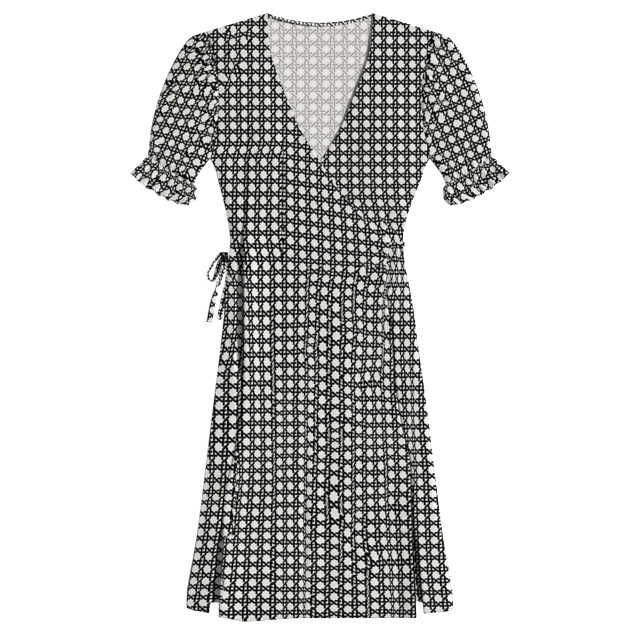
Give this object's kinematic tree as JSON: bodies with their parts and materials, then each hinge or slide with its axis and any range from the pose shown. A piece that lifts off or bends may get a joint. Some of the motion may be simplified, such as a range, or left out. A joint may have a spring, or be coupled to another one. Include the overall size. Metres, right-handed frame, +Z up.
{
  "type": "wrap dress",
  "caption": "Knee-length wrap dress with a V neck, puffed short sleeves with ruffled cuffs, an A-line skirt and a tie bow at the waist, laid out flat.",
  "frame": {"origin": "on the surface that the dress lies on, under the middle of its outline", "axes": "+X across to the wearer's left, +Y up to the shoulders, +Z up from the surface, out of the fronts"},
  "size_m": [0.722, 1.1562, 0.0082],
  "materials": {
    "printed_cloth": "matt woven cloth, off-white with a black cane-work print",
    "binding_cloth": "matt woven cloth, the same print",
    "tie_cloth": "matt woven cloth, the same print"
  },
  "bodies": {
    "root": {"back": "printed_cloth", "front_left_under": "printed_cloth", "front_right_over": "printed_cloth", "sleeve_left": "printed_cloth", "sleeve_right": "printed_cloth", "ruffle_left": "printed_cloth", "ruffle_right": "printed_cloth", "neck_binding": "binding_cloth", "tie_over": "tie_cloth", "tie_under": "tie_cloth", "bow_knot": "tie_cloth", "bow_loop_long": "tie_cloth", "bow_loop_short": "tie_cloth", "tie_end_long": "tie_cloth", "tie_end_short": "tie_cloth"}
  },
  "joints": []
}
